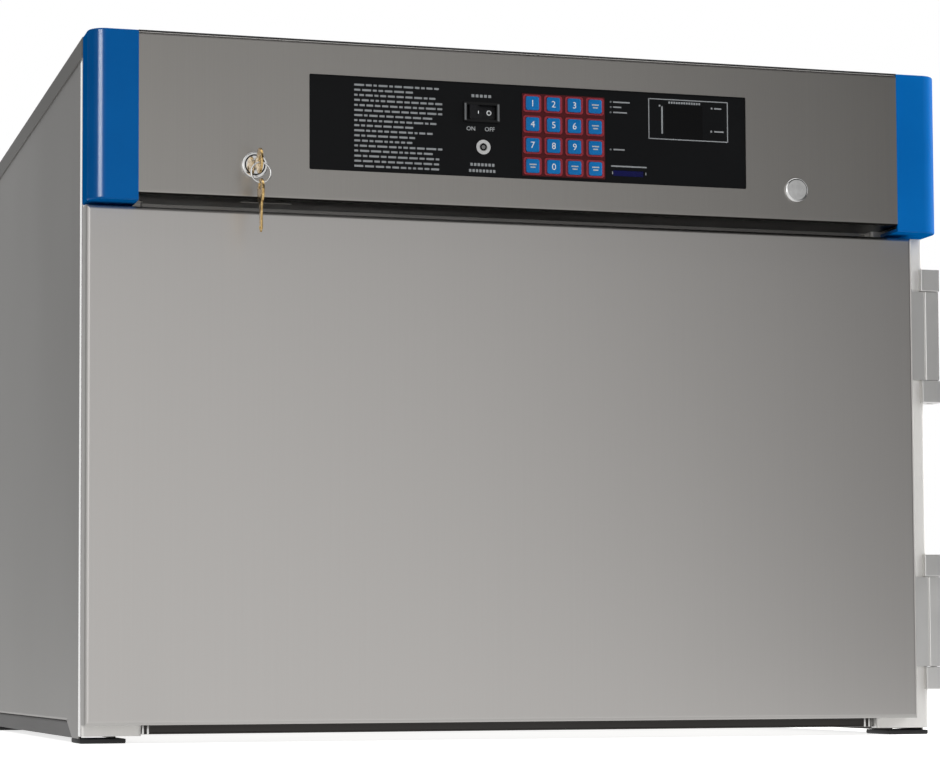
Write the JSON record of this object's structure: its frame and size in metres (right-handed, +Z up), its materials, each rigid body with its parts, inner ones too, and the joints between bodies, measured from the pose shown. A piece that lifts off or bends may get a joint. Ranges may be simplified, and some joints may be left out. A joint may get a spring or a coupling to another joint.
{
  "type": "blanket warming cabinet",
  "caption": "Countertop stainless warming cabinet: one heated chamber with a shelf behind a right-hinged overlay door, and a header with a key lock and keypad controls.",
  "frame": {"origin": "middle of the bounding box's base, on the surface that the feet stand on", "axes": "+X to the right as seen by someone facing the door, +Y from the door to the back, +Z up"},
  "size_m": [0.7776, 0.7356, 0.589],
  "materials": {
    "stainless": "satin number 4 brushed stainless steel",
    "door_stainless": "satin number 4 brushed stainless steel",
    "chamber_stainless": "mill finish stainless steel",
    "heater_steel": "heat darkened steel sheath",
    "motor_steel": "grey painted steel",
    "screw_steel": "zinc plated steel",
    "shelf_wire": "electropolished wire",
    "blue_plastic": "semi-gloss moulded ABS",
    "black_panel": "smooth printed overlay",
    "red_plastic": "moulded plastic",
    "blue_key": "silicone key with a printed figure",
    "black_plastic": "fine textured nylon",
    "chrome": "bright chrome plate",
    "polished_hinge": "satin chrome plated zinc",
    "brass": "worn stamped brass",
    "circuit_board": "solder resist",
    "glass_fibre": "glass fibre blanket",
    "black_rubber": "moulded rubber",
    "grey_silicone": "extruded silicone"
  },
  "bodies": {
    "cabinet": {"left_side_panel": "stainless", "right_side_panel": "stainless", "top_cover": "stainless", "back_panel": "stainless", "base_pan": "stainless", "base_rails": "stainless", "foot_pads": "black_rubber", "front_stiles": "stainless", "face_plate": "stainless", "chamber_liner": "chamber_stainless", "insulation_blankets": "glass_fibre", "rear_baffle": "chamber_stainless", "heater_element": "heater_steel", "fan_motor": "motor_steel", "temperature_sensors": "heater_steel", "shelf_supports": "chamber_stainless", "header_fascia": "stainless", "left_corner_trim": "blue_plastic", "right_corner_trim": "blue_plastic", "control_panel": "black_panel", "keypad_frame": "red_plastic", "switch_housing": "black_plastic", "lockout_barrel": "chrome", "lock_barrel": "chrome", "hole_plug": "chrome", "control_board": "circuit_board", "cord_gland": "black_plastic", "panel_screws": "screw_steel", "hinge_frame_leaves": "polished_hinge", "hinge_pins": "screw_steel"},
    "door": {"door_skin": "door_stainless", "door_inner_pan": "chamber_stainless", "door_insulation": "glass_fibre", "door_gasket": "grey_silicone", "hinge_door_leaves": "polished_hinge"},
    "lock": {"lock_plug": "chrome", "lock_cam": "screw_steel"},
    "door_key": {"door_key": "brass"},
    "key_ring": {"key_ring": "chrome"},
    "spare_key": {"spare_key": "brass"},
    "power_rocker": {"power_rocker": "black_plastic"},
    "lockout_plug": {"lockout_plug": "chrome"},
    "fan_impeller": {"fan_impeller": "motor_steel"},
    "shelf": {"shelf": "shelf_wire"},
    "key_1": {"key_1": "blue_key"},
    "key_2": {"key_2": "blue_key"},
    "key_3": {"key_3": "blue_key"},
    "key_set": {"key_set": "blue_key"},
    "key_4": {"key_4": "blue_key"},
    "key_5": {"key_5": "blue_key"},
    "key_6": {"key_6": "blue_key"},
    "key_mute": {"key_mute": "blue_key"},
    "key_7": {"key_7": "blue_key"},
    "key_8": {"key_8": "blue_key"},
    "key_9": {"key_9": "blue_key"},
    "key_lock": {"key_lock": "blue_key"},
    "key_unit": {"key_unit": "blue_key"},
    "key_0": {"key_0": "blue_key"},
    "key_clear": {"key_clear": "blue_key"},
    "key_enter": {"key_enter": "blue_key"}
  },
  "joints": [
    {"name": "door_swing", "type": "hinge", "parent": "cabinet", "child": "door", "pos_m": [0.3816, -0.2887, 0.22975], "axis": [0, 0, 1], "range_deg": [0, 170]},
    {"name": "lock_turn", "type": "hinge", "parent": "cabinet", "child": "lock", "pos_m": [-0.2496, -0.3328, 0.48], "axis": [0, 1, 0], "range_deg": [0, 90]},
    {"name": "key_pull", "type": "slide", "parent": "lock", "child": "door_key", "axis": [0, -1, 0], "range_m": [0, 0.018]},
    {"name": "ring_swing", "type": "hinge", "parent": "door_key", "child": "key_ring", "pos_m": [-0.2496, -0.3573, 0.4776], "axis": [1, 0, 0], "range_deg": [-50, 20]},
    {"name": "spare_key_swing", "type": "hinge", "parent": "key_ring", "child": "spare_key", "pos_m": [-0.2496, -0.3573, 0.4612], "axis": [1, 0, 0], "range_deg": [-40, 25]},
    {"name": "power_rocker_tilt", "type": "hinge", "parent": "cabinet", "child": "power_rocker", "pos_m": [-0.0519, -0.3272, 0.5347], "axis": [0, 0, -1], "range_deg": [0, 24]},
    {"name": "lockout_turn", "type": "hinge", "parent": "cabinet", "child": "lockout_plug", "pos_m": [-0.0508, -0.3312, 0.5046], "axis": [0, 1, 0], "range_deg": [0, 90]},
    {"name": "fan_spin", "type": "hinge", "parent": "cabinet", "child": "fan_impeller", "pos_m": [-0.0066, 0.2805, 0.225], "axis": [0, 1, 0], "continuous": true},
    {"name": "shelf_lift", "type": "slide", "parent": "cabinet", "child": "shelf", "axis": [0, 0, 1], "range_m": [0, 0.012]},
    {"name": "key_1_press", "type": "slide", "parent": "cabinet", "child": "key_1", "axis": [0, 1, 0], "range_m": [0, 0.0008], "stiffness_N_per_m": 1500},
    {"name": "key_2_press", "type": "slide", "parent": "cabinet", "child": "key_2", "axis": [0, 1, 0], "range_m": [0, 0.0008], "stiffness_N_per_m": 1500},
    {"name": "key_3_press", "type": "slide", "parent": "cabinet", "child": "key_3", "axis": [0, 1, 0], "range_m": [0, 0.0008], "stiffness_N_per_m": 1500},
    {"name": "key_set_press", "type": "slide", "parent": "cabinet", "child": "key_set", "axis": [0, 1, 0], "range_m": [0, 0.0008], "stiffness_N_per_m": 1500},
    {"name": "key_4_press", "type": "slide", "parent": "cabinet", "child": "key_4", "axis": [0, 1, 0], "range_m": [0, 0.0008], "stiffness_N_per_m": 1500},
    {"name": "key_5_press", "type": "slide", "parent": "cabinet", "child": "key_5", "axis": [0, 1, 0], "range_m": [0, 0.0008], "stiffness_N_per_m": 1500},
    {"name": "key_6_press", "type": "slide", "parent": "cabinet", "child": "key_6", "axis": [0, 1, 0], "range_m": [0, 0.0008], "stiffness_N_per_m": 1500},
    {"name": "key_mute_press", "type": "slide", "parent": "cabinet", "child": "key_mute", "axis": [0, 1, 0], "range_m": [0, 0.0008], "stiffness_N_per_m": 1500},
    {"name": "key_7_press", "type": "slide", "parent": "cabinet", "child": "key_7", "axis": [0, 1, 0], "range_m": [0, 0.0008], "stiffness_N_per_m": 1500},
    {"name": "key_8_press", "type": "slide", "parent": "cabinet", "child": "key_8", "axis": [0, 1, 0], "range_m": [0, 0.0008], "stiffness_N_per_m": 1500},
    {"name": "key_9_press", "type": "slide", "parent": "cabinet", "child": "key_9", "axis": [0, 1, 0], "range_m": [0, 0.0008], "stiffness_N_per_m": 1500},
    {"name": "key_lock_press", "type": "slide", "parent": "cabinet", "child": "key_lock", "axis": [0, 1, 0], "range_m": [0, 0.0008], "stiffness_N_per_m": 1500},
    {"name": "key_unit_press", "type": "slide", "parent": "cabinet", "child": "key_unit", "axis": [0, 1, 0], "range_m": [0, 0.0008], "stiffness_N_per_m": 1500},
    {"name": "key_0_press", "type": "slide", "parent": "cabinet", "child": "key_0", "axis": [0, 1, 0], "range_m": [0, 0.0008], "stiffness_N_per_m": 1500},
    {"name": "key_clear_press", "type": "slide", "parent": "cabinet", "child": "key_clear", "axis": [0, 1, 0], "range_m": [0, 0.0008], "stiffness_N_per_m": 1500},
    {"name": "key_enter_press", "type": "slide", "parent": "cabinet", "child": "key_enter", "axis": [0, 1, 0], "range_m": [0, 0.0008], "stiffness_N_per_m": 1500}
  ]
}
